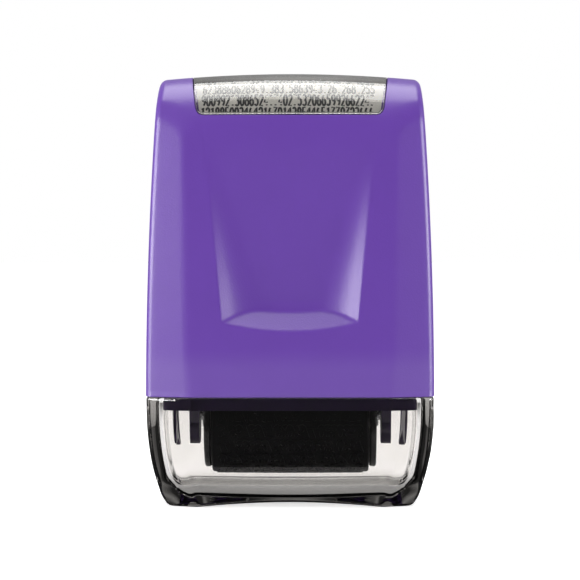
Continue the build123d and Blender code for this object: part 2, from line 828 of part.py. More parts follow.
pieces = {
    "case_shell": case_shell,
    "window_lens": window_lens,
    "imprint_card": imprint_card,
    "roller_chassis": roller_chassis,
    "cartridge_frame": cartridge_frame,
    "cartridge_cover": cartridge_cover,
    "print_roller_core": print_roller_core,
    "print_sleeve": print_sleeve,
    "print_axle": print_axle,
    "axle_spacer_left": spacer_left,
    "axle_spacer_right": spacer_right,
    "axle_clip_left": axle_clip_left,
    "axle_clip_right": axle_clip_right,
    "ink_roller_core": ink_roller_core,
    "ink_roller_felt": ink_roller_felt,
    "ink_axle": ink_axle,
    "ink_bearing_left": ink_bearing_left,
    "ink_bearing_right": ink_bearing_right,
    "pressure_spring_left": pressure_spring_left,
    "pressure_spring_right": pressure_spring_right,
    "cap": cap,
}
for name, piece in pieces.items():
    piece.part.label = name
    export_step(piece.part, f"parts/{name}.step")
    print(name, len(piece.part.solids()), round(piece.part.volume), len(piece.faces()))
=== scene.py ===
"""Looks of the privacy roller stamp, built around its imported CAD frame.

The case, the clear window, the printed card, the clear cap and the rubber sleeve are numpy
surfaces that follow the same sizes as the CAD pieces, and replace them.  The mechanism keeps its
CAD meshes and gets materials.  Lengths in the shape functions are millimetres in the row frame:
Z up, the front towards -Y, the origin on the ground under the cap.
"""

import math

import bmesh
import bpy
import numpy as np
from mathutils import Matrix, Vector


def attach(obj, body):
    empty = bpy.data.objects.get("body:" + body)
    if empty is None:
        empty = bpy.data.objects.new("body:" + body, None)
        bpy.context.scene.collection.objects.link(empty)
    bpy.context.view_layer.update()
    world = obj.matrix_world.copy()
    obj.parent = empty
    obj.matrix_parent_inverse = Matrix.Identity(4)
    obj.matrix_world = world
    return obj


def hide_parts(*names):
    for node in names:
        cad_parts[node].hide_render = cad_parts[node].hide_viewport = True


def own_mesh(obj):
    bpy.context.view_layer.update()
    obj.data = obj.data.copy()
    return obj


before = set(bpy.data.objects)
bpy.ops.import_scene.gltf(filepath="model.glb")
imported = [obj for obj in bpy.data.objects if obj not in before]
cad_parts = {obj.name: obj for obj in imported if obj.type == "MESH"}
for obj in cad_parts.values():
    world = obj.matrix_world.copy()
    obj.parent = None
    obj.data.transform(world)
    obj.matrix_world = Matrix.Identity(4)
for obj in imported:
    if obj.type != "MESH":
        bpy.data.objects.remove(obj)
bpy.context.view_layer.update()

bl_info = {
    "name": "Privacy roller stamp",
    "version": (1, 0, 0),
    "blender": (4, 5, 0),
    "location": "3D View > Sidebar > Stamp",
    "description": "Builds the looks of a privacy roller stamp around its CAD frame",
    "category": "Object",
}

MM = 0.001

# Case form: heights, half depths, half widths and roundings
EDGE_Z, BAND_Z, CROWN_Z = 22.1, 29.3, 86.3
HALF_DEPTH, PANEL_DEPTH, CROWN_DEPTH = 17.1, 16.6, 13.9
HALF_WIDTH, SHOULDER, BULGE = 28.5, 26.0, 0.6
CROWN_RISE, RIDGE, EDGE_ROUND, BAND_ROUND = 1.5, 12.0, 1.6, 0.03

# Corner bands: half width of the break line low and high, its rounding, and how that grows into
# the crown from a height, over a height
BREAK_LOW, BREAK_HIGH, BREAK_ROUND = 19.9, 21.1, 0.12
FACET = math.tan(math.radians(16))
BLEND_ROUND, BLEND_Z, BLEND_HEIGHT = 1.4, 72.0, 8.0

# Case wall, the mouth's depth, and the hollow as half sections from its roof down: height, half
# width, half depth, corner
CASE_WALL, MOUTH_DEPTH, MOUTH_DRAFT = 2.2, 2.5, math.tan(math.radians(8))
HOLLOW = np.array(
    [
        (80.0, 23.4, 0.0, 0.5),
        (80.0, 23.4, 6.2, 0.5),
        (71.8, 23.7, 11.6, 0.8),
        (45.5, 24.6, 11.6, 0.8),
        (43.5, 24.64, 11.9, 0.8),
        (30.9, 24.64, 14.2, 0.8),
        (EDGE_Z + MOUTH_DEPTH, 24.64, 14.2, 0.8),
    ]
)

# Thumb scoop: heights, half widths, depth, the widths of its two kinds of ramp with the share of
# each that is straight, the bow of its low edge, and roundings
SCOOP_LOW, SCOOP_DEEP_Z, SCOOP_TOP = 35.0, 40.9, 71.0
SCOOP_HALF_LOW, SCOOP_HALF_TOP, SCOOP_BOW = 13.3, 16.7, 1.7
SCOOP_DEPTH, SCOOP_COVE, SCOOP_LEDGE = 3.0, 9.6, 4.4
COVE_STRAIGHT, LEDGE_STRAIGHT, SHALLOW_COVE = 0.2, 0.8, 0.3
SCOOP_CORNER, SCOOP_EDGE, SCOOP_FLARE = 0.1, 0.12, 0.4

# Window: its outline, its recess, and the lens and the card in it
WINDOW_LOW, WINDOW_HALF, WINDOW_FLARE = 77.7, 18.45, 1.15 / 8.6
WINDOW_CORNER, SADDLE, SADDLE_DRAFT = 1.5, 1.77, 0.12
LENS_THICK, LENS_GAP, LENS_EDGE = 1.3, 0.2, 0.15
CARD_TOP, CARD_THICK, CARD_MARGIN, CARD_EDGE = 1.36, 0.35, 0.5, 0.05

# Cap: the draw of its curved sides by height, roundings, the arch between the feet, grip pads
CAP_TOP, CAP_WALL, CAP_FLOOR, CAP_DRAW, RIM_STEP = 22.0, 2.65, 3.0, 4.1, 0.1
CAP_BAND = 6.7
CAP_FACET = 8.6 * FACET / CAP_BAND
DRAW_HEIGHTS = np.array([0, 0.1, 0.21, 0.35, 0.52, 0.7, 0.85, 1]) * CAP_TOP
DRAWS = np.array([1, 0.7, 0.51, 0.305, 0.145, 0.045, 0.01, 0]) * CAP_DRAW
FOOT_ROUND, RIM_ROUND, WELL_ROUND, WELL_CORNER, WELL_NARROW = 0.8, 0.3, 4.0, 3.0, 0.6
ARCH_RISE, ARCH_HALF, ARCH_EASE, ARCH_FADE = 1.0, 18.5, 0.06, 8.0
PAD_HALF_Y, PAD_HALF_Z, PAD_Z, PAD_CORNER = 7.5, 6.0, 13.4, 4.0
PAD_PROUD, PAD_EASE = 0.45, 0.5

# Printing roller: its axle's height, radius, the sleeve's wall, half length and edge
AXLE_Z, ROLLER, SLEEVE, ROLLER_HALF, SLEEVE_EDGE = 18.0, 12.0, 2.2, 15.7, 0.3

# Figures on the card: clear of its edge, between lines, width, stroke, the ink's foot and top over
# the card, the part of the first line that the edge cuts off, and the seed
PRINT_EDGE, PRINT_GAP, PRINT_WIDTH, PRINT_STROKE = 0.1, 0.35, 0.78, 0.4
PRINT_FOOT, PRINT_TOP, PRINT_CUT, PRINT_SEED = 0.01, 0.03, 0.55, 3

# Figures on the sleeve: lines round it, pitch, width, height to the card's, stroke, their foot in
# the sleeve, their top under the roller's radius, and the seed
RELIEF_LINES, RELIEF_PITCH, RELIEF_WIDTH, RELIEF_HEIGHT = 23, 1.25, 1.6, 0.93
RELIEF_STROKE, RELIEF_FOOT, RELIEF_UNDER, RELIEF_SEED = 0.42, -0.1, 0.02, 5

# Mesh steps: the case's fillet, side and columns, with the fine ones beside an edge; the cap's
# columns, fillet and side; shares of its flat ends; the roller's turn; the angle of a sharp edge
ARC_STEPS, SIDE_STEPS, INNER_COLUMNS, OUTER_COLUMNS = 10, 20, 45, 17
BESIDE = np.array([-0.5, -0.3, -0.15, -0.06, -0.02, 0.02, 0.06, 0.15, 0.3, 0.5])
CAP_COLUMNS, CAP_ARC_STEPS, CAP_SIDE_STEPS = 70, 12, 44
SPREAD, ROLLER_STEPS, SHARP = (0.0, 0.4, 0.7, 0.85, 0.94), 180, math.radians(34)

# Soft boxes: name, azimuth and elevation in degrees, width and height in metres, watts
LAMPS = (
    ("key_left", -66, 6, (0.40, 0.09), 1.8),
    ("side_right", 70, 6, (0.32, 0.09), 1.25),
    ("overhead", 170, 83, (0.40, 0.42), 2.2),
)
LAMP_DISTANCE, LAMP_AIM = 0.5, 0.045

# Surroundings: brightness of the tent, of its opening and of what plastic mirrors inside itself
TENT, OPENING, INNER = 0.4, 0.02, 0.8
OPENING_AZIMUTH, OPENING_RISE, OPENING_START, OPENING_END = 15, 0.05, 0.87, 0.68
FLAG_START, FLAG_END, FLAG_SHARE = 0.02, 0.12, 0.1

# Paper: glow where it is seen, seen through plastic and mirrored inside it, what hides it from
# mirrors, and, in metres, where that begins and the flags at both sides
SEEN_GLOW, THROUGH_GLOW, INSIDE_GLOW = 0.7, 0.5, 0.4
MIRROR_HIDES, INSIDE_HIDES, BEHIND_Y = 0.95, 0.2, -0.03
PAPER_FLAG_START, PAPER_FLAG_END, PAPER_FLAG = 0.1, 0.25, 0.85

# Camera: degrees, metres, pixels to a millimetre of the front panel, and shift in pixels
AZIMUTH, ELEVATION, ROLL = 0.5, 1.5, -0.05
AIM_Z, PANEL_Y, SCALE, SHIFT, PICTURE = 0.0432, 0.0155, 5.09, (-0.5, -2.0), 580


# -------- numbers
def soft_max(a, b, k):
    """The larger of two fields, with the crease between them rounded over about k."""
    h = np.maximum(k - np.abs(a - b), 0) / k
    return np.maximum(a, b) + h * h * k / 4


def soft_min(a, b, k):
    """The smaller of two fields, with the crease between them rounded over about k."""
    return -soft_max(-a, -b, k)


def step(t):
    """A smooth step from 0 to 1 as t goes from 0 to 1."""
    t = np.clip(t, 0, 1)
    return t * t * (3 - 2 * t)


def rounded_box(x, z, half_x, half_z, corner):
    """Distance from the outline of a rectangle with round corners, negative inside."""
    qx, qz = np.abs(x) - half_x + corner, np.abs(z) - half_z + corner
    outside = np.hypot(np.maximum(qx, 0), np.maximum(qz, 0))
    return outside + np.minimum(np.maximum(qx, qz), 0) - corner


def knots(*runs):
    """Places along a line: each run is (start, end, step), and the runs follow each other."""
    parts = [np.linspace(a, b, max(int(round(abs(b - a) / d)), 1) + 1)[:-1] for a, b, d in runs]
    return np.concatenate(parts + [[runs[-1][1]]])


# -------- meshes
def grid_faces(rows, columns, start=0, closed=False):
    """Quads of a grid of vertices counted row by row; closed joins the last column to the first."""
    low = np.arange(rows - 1)[:, None] * columns
    high = low + columns
    c = np.arange(columns if closed else columns - 1)[None, :]
    after = (c + 1) % columns
    return np.stack([low + c, low + after, high + after, high + c]).reshape(4, -1).T + start


def ring_mesh(rings):
    """Vertices and quads of rows of closed rings."""
    return rings.reshape(-1, 3), grid_faces(*rings.shape[:2], closed=True)


def placed(name, data):
    """A new object in the scene."""
    made = bpy.data.objects.new(name, data)
    bpy.context.scene.collection.objects.link(made)
    return made


def make_piece(name, shape, body, finish, replaces=(), merge=0.002):
    """A mesh object from points in millimetres and faces, welded, closed and shaded smooth, riding
    on a body."""
    points, faces = shape
    mesh = bpy.data.meshes.new(name)
    mesh.from_pydata((points * MM).tolist(), [], faces.tolist())
    work = bmesh.new()
    work.from_mesh(mesh)
    bmesh.ops.remove_doubles(work, verts=work.verts, dist=merge * MM)
    bmesh.ops.dissolve_degenerate(work, edges=work.edges, dist=1e-8)
    bmesh.ops.recalc_face_normals(work, faces=work.faces)
    work.to_mesh(mesh)
    work.free()
    mesh.polygons.foreach_set("use_smooth", [True] * len(mesh.polygons))
    mesh.set_sharp_from_angle(angle=SHARP)
    mesh.materials.append(material(finish))
    piece = placed(name, mesh)
    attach(piece, body)
    if replaces:
        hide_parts(*replaces)


# -------- the case's form
LEAN = (PANEL_DEPTH - CROWN_DEPTH) / (CROWN_Z - BAND_Z)
LEAN_ANGLE = math.atan(LEAN)
RIDGE_Z = CROWN_Z - RIDGE
RIDGE_D = PANEL_DEPTH - LEAN * (RIDGE_Z - BAND_Z) - RIDGE / math.cos(LEAN_ANGLE)
PANEL_END = RIDGE_Z + RIDGE * math.sin(LEAN_ANGLE)  # stations up to here are heights
CROWN_START = PANEL_END + RIDGE * (math.pi / 2 - LEAN_ANGLE)
CROWN_END = CROWN_START + RIDGE_D


def side_profile(s):
    """The case's side profile by station: the height itself up the band and the leaning panel,
    then arc length round the ridge and over the flat crown to the middle.  Gives the distance
    from the middle plane, the height, and the outward normal's two parts."""
    low = HALF_DEPTH - (HALF_DEPTH - PANEL_DEPTH) * (s - EDGE_Z) / (BAND_Z - EDGE_Z)
    lean = PANEL_DEPTH - LEAN * (s - BAND_Z)
    panel = soft_max(low, lean, BAND_ROUND)
    angle = np.clip((s - PANEL_END) / RIDGE, 0, np.pi / 2 - LEAN_ANGLE) + LEAN_ANGLE
    round_d, round_z = RIDGE_D + RIDGE * np.cos(angle), RIDGE_Z + RIDGE * np.sin(angle)
    flat = np.maximum(s - CROWN_START, 0)
    over = s > PANEL_END
    d = np.where(over, round_d - flat, panel)
    z = np.where(over, round_z, s)
    return d, z, np.cos(angle), np.sin(angle)


def side_width(z):
    """Half width of the case at height z: a long arc that leans in towards the crown."""
    t = (z - EDGE_Z) / (CROWN_Z - EDGE_Z)
    return HALF_WIDTH + (SHOULDER - HALF_WIDTH) * t + 4 * BULGE * t * (1 - t)


def station_at(z):
    """The station on the ridge's arc at height z."""
    return PANEL_END + RIDGE * (math.asin((z - RIDGE_Z) / RIDGE) - LEAN_ANGLE)


def toward_spine(s):
    """A station's place on the side profile (distance from the middle plane, height), the height
    of the spine that its section is drawn towards, and how far off that is.  The spine runs up
    the middle plane and ends level with the ridge's centre."""
    d, z, _, _ = side_profile(s)
    qz = np.minimum(z, RIDGE_Z)
    return d, z, qz, np.hypot(d, z - qz)


def case_drop(x, s):
    """How far the skin lies below the side profile, towards the spine, at x: the crown's bow
    across the case, or the slanted corner band where that cuts deeper."""
    _, _, nd, nz = side_profile(s)
    d, z, qz, length = toward_spine(s)
    along = (nd * d + nz * (z - qz)) / length
    bow = CROWN_RISE * (x / HALF_WIDTH) ** 2 * nz
    low = PANEL_DEPTH + LEAN * (BAND_Z - EDGE_Z) + BREAK_LOW * FACET
    high = CROWN_DEPTH + BREAK_HIGH * FACET
    tilt = (low - high) / (CROWN_Z - EDGE_Z)
    facet = (d + FACET * np.abs(x) - low + tilt * (z - EDGE_Z)) / (nd + tilt * nz)
    crease = BREAK_ROUND + BLEND_ROUND * step((z - BLEND_Z) / BLEND_HEIGHT)
    return soft_max(bow, facet, crease) / along


def case_point(x, s, depth):
    """The point of the case at x and station s, depth below the side profile."""
    d, z, qz, length = toward_spine(s)
    return np.stack([x, -(d - d * depth / length), z + (qz - z) * depth / length], -1)


def scoop_half(z):
    """Half width of the thumb scoop at height z: it widens evenly upwards."""
    share = (z - SCOOP_LOW) / (SCOOP_TOP - SCOOP_LOW)
    return SCOOP_HALF_LOW + (SCOOP_HALF_TOP - SCOOP_HALF_LOW) * share


def window_half(z):
    """Half width of the window at height z."""
    return WINDOW_HALF + (z - WINDOW_LOW) * WINDOW_FLARE


def scoop_dent(x, z):
    """Depth of the thumb scoop: a floor that sinks evenly from the top edge down, times the
    smaller of two ramps, of the coves from the sides and the ledge from the bottom.  The coves
    are narrower where the scoop is shallow, and the corner between the ramps is rounded."""
    low = SCOOP_LOW + SCOOP_BOW * (x / SCOOP_HALF_LOW) ** 2
    sunk = np.minimum((SCOOP_TOP - z) / (SCOOP_TOP - SCOOP_DEEP_Z), 1.0)
    cove = SCOOP_COVE * (SHALLOW_COVE + (1 - SHALLOW_COVE) * np.maximum(sunk, 0))
    sides = ramp((scoop_half(z) - np.abs(x)) / cove, COVE_STRAIGHT)
    ledge = ramp((z - low) / SCOOP_LEDGE, LEDGE_STRAIGHT)
    bowl = soft_min(sides, ledge, SCOOP_CORNER)
    floor = SCOOP_DEPTH * sunk
    dent = bowl * np.where(bowl > 0, floor, np.maximum(floor, SCOOP_FLARE))
    return soft_max(dent, 0 * x, SCOOP_EDGE)


def ramp(share, straight):
    """A curve from 0 to 1: straight at first, then a parabola that ends level, and straight on
    below 0."""
    share = np.minimum(share, 1)
    bend = np.maximum(share - straight, 0) ** 2 / (2 * (1 - straight))
    return (share - bend) * 2 / (1 + straight)


def window_inside(x, z):
    """Distance inside the window's outline: a trapezium with its lower corners rounded."""
    up, side, corner = z - WINDOW_LOW, window_half(z) - np.abs(x), WINDOW_CORNER
    near = (up < corner) & (side < corner)
    return np.where(near, corner - np.hypot(corner - up, corner - side), np.minimum(up, side))


def case_dent(x, z):
    """All hollows of the case's skin: the scoop and the window's recess."""
    recess = SADDLE * step(0.5 + window_inside(x, z) / SADDLE_DRAFT)
    return scoop_dent(x, z) + np.where(z > SCOOP_TOP, recess, 0)


def case_half(s):
    """Half the case's skin, from the middle to the spine on the right: sections at stations s.
    Each runs across the front, round the side edge's fillet and down the side.  Gives x across,
    and x and the drop of the rest."""
    _, z, qz, length = toward_spine(s)
    width = side_width(z)
    for _ in range(2):
        width = side_width(z + (qz - z) * case_drop(width, s) / length)
    beside = 0.5
    slope = (case_drop(width, s) - case_drop(width - beside, s)) / beside
    centre_x = width - EDGE_ROUND
    centre_h = case_drop(width, s) - slope * EDGE_ROUND + EDGE_ROUND * np.sqrt(1 + slope**2)
    turn = np.arctan2(1, slope)
    x_across = case_across(s, centre_x + EDGE_ROUND * np.cos(turn))
    psi = turn * np.linspace(1, 0, ARC_STEPS + 1)[None, 1:]
    x_arc, h_arc = centre_x + EDGE_ROUND * np.cos(psi), centre_h - EDGE_ROUND * np.sin(psi)
    share = np.linspace(0, 1, SIDE_STEPS + 1)[None, 1:]
    h_side = centre_h + (length - centre_h) * share
    z_side = z + (qz - z) * h_side / length
    z_start = z + (qz - z) * centre_h / length
    x_side = side_width(z_side) + (width - side_width(z_start)) * (1 - share)
    return x_across, np.concatenate([x_arc, x_side], 1), np.concatenate([h_arc, h_side], 1)


def case_across(s, end_x):
    """Places of the case's columns across: fine beside the edges of the scoop and the window,
    which they follow up the case."""
    scoop, window = scoop_half(s), window_half(side_profile(s)[1])
    edge = scoop + (window - scoop) * step((s - SCOOP_TOP) / (WINDOW_LOW - SCOOP_TOP - 1))
    near, far = edge + BESIDE[0], edge + BESIDE[-1]
    inner = near * np.linspace(0, 1, INNER_COLUMNS)[None, :-1]
    outer = far + (end_x - far) * np.linspace(0, 1, OUTER_COLUMNS)[None, 1:]
    return np.concatenate([inner, edge + BESIDE[None], outer], 1)


def cap_across(s, end_x):
    """Places of the cap's columns across, evenly spaced at any station."""
    return end_x * np.linspace(0, 1, CAP_COLUMNS)[None]


def ring_half(width, depth, break_x, facet, corner, across, arc_steps, side_steps):
    """A quarter of a level section with slanted corner bands: across the front to the corner's
    fillet, round it, and down the side to the middle.  Gives x and the distance from the middle
    plane, one row for each of the given widths."""
    centre_x = width - corner
    centre_y = depth - facet * (centre_x - break_x) - corner * np.sqrt(1 + facet**2)
    turn = np.arctan2(1, facet)
    end_x = centre_x + corner * np.cos(turn)
    x_across = across(depth * 0 + EDGE_Z, end_x)
    y_across = depth - soft_max(facet * (x_across - break_x), 0 * x_across, BREAK_ROUND)
    psi = turn * np.linspace(1, 0, arc_steps + 1)[None, 1:]
    x_arc, y_arc = centre_x + corner * np.cos(psi), centre_y + corner * np.sin(psi)
    share = np.linspace(1, 0, side_steps + 1)[None, 1:]
    y_side = centre_y * share
    x_side = width + 0 * y_side
    return np.concatenate([x_across, x_arc, x_side], 1), np.concatenate([y_across, y_arc, y_side], 1)


def all_round(x, y, z):
    """Closed rings from quarter rings: the right half of the front, the back from right to left,
    and the left half of the front."""
    z = z + 0 * x
    back, left, last = slice(-2, None, -1), slice(1, None), slice(-2, 0, -1)
    xs = np.concatenate([x, x[:, back], -x[:, left], -x[:, last]], 1)
    ys = np.concatenate([-y, y[:, back], y[:, left], -y[:, last]], 1)
    zs = np.concatenate([z, z[:, back], z[:, left], z[:, last]], 1)
    return np.stack([xs, ys, zs], -1)


def case_points():
    """The case's whole skin as rows of closed rings: from the hollow's roof down its inside, out
    over the lower rim, and up the outside to the middle of the crown.  The rows are finer over
    the base band's crease, the scoop's ledge and the window's low edge."""
    side = dict(across=case_across, arc_steps=ARC_STEPS, side_steps=SIDE_STEPS)
    z, width, depth, corner = (column[:, None] for column in HOLLOW.T)
    x, y = ring_half(width, depth, HALF_WIDTH + 0 * width, 0 * width, corner, **side)
    y[0] = 0
    hollow = all_round(x, y, z)
    # the mouth's wall and the two eased edges of the rim: inset and height over the edge
    rim_rows = (
        (CASE_WALL, MOUTH_DEPTH), (CASE_WALL, 0.3), (CASE_WALL, 0.2),
        (CASE_WALL - 0.15, 0), (0.3, 0), (0.09, 0.09),
    )
    inset, z = np.array(rim_rows).T[..., None]
    x, y = ring_half(
        HALF_WIDTH - inset, HALF_DEPTH - inset, BREAK_LOW - inset * MOUTH_DRAFT, FACET + 0 * inset,
        EDGE_ROUND + 0 * inset, **side
    )
    rim = all_round(x, y, EDGE_Z + z)
    # where the rows' spacing changes, and the spacing from there
    places = (
        (EDGE_Z + 0.3, 1.0), (BAND_Z - 0.7, 0.27), (BAND_Z + 0.9, 0.8), (SCOOP_LOW - 0.1, 0.27),
        (SCOOP_DEEP_Z + 2.1, 0.9), (SCOOP_TOP - 2, 0.7), (WINDOW_LOW - 0.3, 0.05),
        (WINDOW_LOW + 0.3, 0.16), (WINDOW_LOW + 1.9, 0.6), (CROWN_END, 0),
    )
    s = knots(*((a, b, d) for (a, d), (b, _) in zip(places, places[1:])))[:, None]
    x_across, x_side, h_side = case_half(s)
    stations = s + 0 * x_across
    drop = case_drop(x_across, stations)
    skin_z = case_point(x_across, stations, drop)[..., 2]
    across = case_point(x_across, stations, drop + case_dent(x_across, skin_z))
    sides = case_point(x_side, s + 0 * x_side, h_side)
    quarter = np.concatenate([across, sides], 1)
    outside = all_round(quarter[..., 0], -quarter[..., 1], quarter[..., 2])
    return np.concatenate([hollow, rim, outside])


# -------- sheets under the window
def saddle_sheet(gap, below, thick, edge, rows, columns):
    """A closed sheet on the case's form under the window: its outline is the window's, drawn in
    by gap, its face lies below the skin, and its rim is rounded by edge."""
    share = np.sin(np.linspace(0, np.pi / 2, columns)) ** 0.9  # finer towards the sides
    least_corner, fine, fine_rows, crowding = 0.3, 0.12, 12, 2.2
    corner = WINDOW_CORNER - min(gap, WINDOW_CORNER - least_corner)
    low = WINDOW_LOW + gap
    start = station_at(low)
    close = np.linspace(0, 1, fine_rows)[:-1] ** crowding * fine  # rows over the low corners
    run = np.concatenate([close, np.linspace(fine, 1, rows)])
    s = start + (CROWN_END - start) * run[:, None]
    _, z, _, _ = side_profile(s)
    up = np.maximum(z - low, 0)
    missing = np.maximum(corner - up, 0)
    half = window_half(z) - gap - corner + np.sqrt(np.maximum(corner**2 - missing**2, 0))
    x = half * np.concatenate([-share[:0:-1], share])[None]
    s = s + 0 * x
    inside = np.maximum(np.minimum(half - np.abs(x), up + 0 * x), 0)
    short = np.maximum(edge - inside, 0)
    drop = case_drop(x, s)
    bevel = edge - np.sqrt(np.maximum(edge**2 - short**2, 0))
    halves = [case_point(x, s, drop + below + depth) for depth in (bevel, thick)]
    return closed_sheet(*(np.concatenate([half, (half * [1, -1, 1])[-2::-1]]) for half in halves))


def closed_sheet(top, under):
    """Vertices and quads of a sheet with an upper and a lower face of the same grid, joined
    round the rim."""
    rows, columns = top.shape[:2]
    count = rows * columns
    points = np.concatenate([top.reshape(-1, 3), under.reshape(-1, 3)])
    faces = np.concatenate([grid_faces(rows, columns), grid_faces(rows, columns, count)[:, ::-1]])
    r, c = np.arange(rows), np.arange(columns)
    rim = np.concatenate(
        [c, r[1:] * columns + columns - 1, (rows - 1) * columns + c[-2::-1], r[-2:0:-1] * columns]
    )
    after = np.roll(rim, -1)
    strip = np.stack([rim, rim + count, after + count, after], 1)
    return points, np.concatenate([faces, strip])


# -------- the cap
def cap_draw(z):
    """The cap's draw at height z: a smooth curve through the sections' draws."""
    slopes = np.gradient(DRAWS, DRAW_HEIGHTS)
    i = np.clip(np.searchsorted(DRAW_HEIGHTS, z, side="right") - 1, 0, len(DRAWS) - 2)
    span = DRAW_HEIGHTS[i + 1] - DRAW_HEIGHTS[i]
    t = (z - DRAW_HEIGHTS[i]) / span
    a, b = 2 * t**3 - 3 * t**2 + 1, t**3 - 2 * t**2 + t
    c, d = -2 * t**3 + 3 * t**2, t**3 - t**2
    curve = a * DRAWS[i] + b * span * slopes[i] + c * DRAWS[i + 1] + d * span * slopes[i + 1]
    return curve + RIM_STEP


def cap_ring(z, inset, corner, slanted=True):
    """Quarter rings of the cap at heights z, drawn in by the curve and by inset.  The outside has
    slanted corner bands, and the well is a plain rectangle."""
    columns = (np.array(v, float, ndmin=1)[:, None] for v in (z, inset, corner))
    z, inset, corner = np.broadcast_arrays(*columns)
    draw = cap_draw(z) + inset
    facet = (CAP_FACET if slanted else 0) + 0 * z
    width = HALF_WIDTH - draw
    x, y = ring_half(
        width, HALF_DEPTH - draw, width - CAP_BAND, facet, corner,
        cap_across, CAP_ARC_STEPS, CAP_SIDE_STEPS
    )
    return x, y, z + 0 * x


def arched(x, z):
    """Height of the cap's lower parts after the arch between its two feet lifts them: the lift
    fades to nothing further up."""
    lift = ARCH_RISE * np.maximum(1 - (x / ARCH_HALF) ** 2, 0)
    lift = soft_max(lift, 0 * lift, ARCH_EASE)
    return z + lift * step(1 - z / ARCH_FADE)


def cap_points():
    """The cap as rows of closed rings: from the middle of its underside out to the foot's round
    edge, up the outside with the grip pads, over the rim, down the well and over its floor."""
    foot = np.linspace(0, np.pi / 2, 7)[:-1]
    rim = np.linspace(0, np.pi / 2, 4)
    well = np.linspace(0, np.pi / 2, 10)
    pad_low, pad_high = PAD_Z - PAD_HALF_Z - 0.9, PAD_Z + PAD_HALF_Z + 1
    wall_top = CAP_TOP - RIM_ROUND
    up = knots((FOOT_ROUND, pad_low, 0.5), (pad_low, pad_high, 0.35), (pad_high, wall_top, 0.5))
    x, y, z = cap_ring(0, FOOT_ROUND, EDGE_ROUND - FOOT_ROUND)
    rows = [(x, y * share, z) for share in SPREAD]
    foot_in = FOOT_ROUND * (1 - np.sin(foot))
    rows.append(cap_ring(FOOT_ROUND * (1 - np.cos(foot)), foot_in, EDGE_ROUND - foot_in))
    x, y, z = cap_ring(up, 0, EDGE_ROUND)
    pad = -rounded_box(y, z - PAD_Z, PAD_HALF_Y, PAD_HALF_Z, PAD_CORNER)
    x = x + PAD_PROUD * step(pad / PAD_EASE + 0.5)
    rows.append((x, y, z))
    rim_z, rim_in = CAP_TOP - RIM_ROUND * (1 - np.sin(rim)), RIM_ROUND * (1 - np.cos(rim))
    rows.append(cap_ring(rim_z, rim_in, EDGE_ROUND))
    rows.append(cap_ring(rim_z[::-1], CAP_WALL - rim_in[::-1], WELL_CORNER, slanted=False))
    down = knots((wall_top, CAP_FLOOR + WELL_ROUND, 0.8))
    rows.append(cap_ring(down, CAP_WALL, WELL_CORNER, slanted=False))
    well_in = WELL_ROUND * (1 - np.cos(well))
    well_z = CAP_FLOOR + WELL_ROUND * (1 - np.sin(well))
    well_corner = WELL_CORNER - WELL_NARROW * well_in
    rows.append(cap_ring(well_z, CAP_WALL + well_in, well_corner, slanted=False))
    x, y, z = cap_ring(CAP_FLOOR, CAP_WALL + WELL_ROUND, well_corner[-1], slanted=False)
    rows += [(x, y * share, z) for share in SPREAD[::-1]]
    x, y, z = map(np.concatenate, zip(*rows))
    outside = np.arange(len(z))[:, None] < len(SPREAD) + len(foot) + len(up)
    return all_round(x, y, np.where(outside, arched(x, z), z))


# -------- printed figures
def figure_strokes():
    """Centre lines of the ten figures in a box one unit wide and one high, as points."""

    def arc(x, y, rx, ry, start, end, count=9):
        t = np.radians(np.linspace(start, end, count))
        return np.stack([x + rx * np.cos(t), y + ry * np.sin(t)], 1)

    def line(*points):
        return np.array(points, float)

    def joined(*parts):
        return [np.concatenate(parts)]

    return [
        [arc(0.5, 0.5, 0.42, 0.48, 90, 450, 17)],
        [line((0.25, 0.8), (0.55, 0.98), (0.55, 0.02))],
        joined(arc(0.5, 0.72, 0.38, 0.26, 170, -30), line((0.1, 0.02), (0.9, 0.02))),
        [arc(0.45, 0.74, 0.38, 0.24, 150, -90), arc(0.45, 0.26, 0.42, 0.24, 90, -150)],
        [line((0.9, 0.3), (0.08, 0.3), (0.65, 0.98), (0.65, 0.02))],
        joined(line((0.85, 0.98), (0.2, 0.98), (0.15, 0.58)), arc(0.45, 0.32, 0.4, 0.3, 110, -150)),
        joined(arc(0.7, 0.5, 0.55, 0.48, 110, 180), arc(0.5, 0.3, 0.38, 0.28, 180, -180, 13)),
        [line((0.08, 0.98), (0.9, 0.98), (0.4, 0.02))],
        [arc(0.5, 0.75, 0.34, 0.23, -90, 270, 13), arc(0.5, 0.27, 0.42, 0.25, 90, 450, 13)],
        joined(arc(0.5, 0.7, 0.38, 0.28, 0, 360, 13), arc(0.3, 0.5, 0.55, 0.48, 0, -70)),
    ]


def figure_ribbons(width, height, stroke):
    """Each figure's strokes as flat ribbons: two rows of points, left and right of the line."""

    def ribbon(line):
        line = line * [width, height]
        ahead = np.gradient(line, axis=0)
        side = np.stack([-ahead[:, 1], ahead[:, 0]], 1)
        side /= np.maximum(np.linalg.norm(side, axis=1, keepdims=True), 1e-6)
        return np.stack([line - side * stroke / 2, line + side * stroke / 2])

    return [[ribbon(line) for line in strokes] for strokes in figure_strokes()]


def figure_field(places, ribbons, onto, heights):
    """Vertices and quads of figures at places (x, y, figure): onto bends flat points and a height
    onto a surface, and heights gives the levels of the ribbon's section, such as up, over, down."""
    points, faces, count = [], [], 0
    for x, y, figure in places:
        for ribbon in ribbons[int(figure)]:
            left, right = ribbon + [x, y]
            section = [(left if k < len(heights) / 2 else right, h) for k, h in enumerate(heights)]
            rows = np.stack([onto(flat[:, 0], flat[:, 1], h) for flat, h in section])
            points.append(rows.reshape(-1, 3))
            faces.append(grid_faces(len(heights), rows.shape[1], count))
            count += rows.shape[0] * rows.shape[1]
    return np.concatenate(points), np.concatenate(faces)


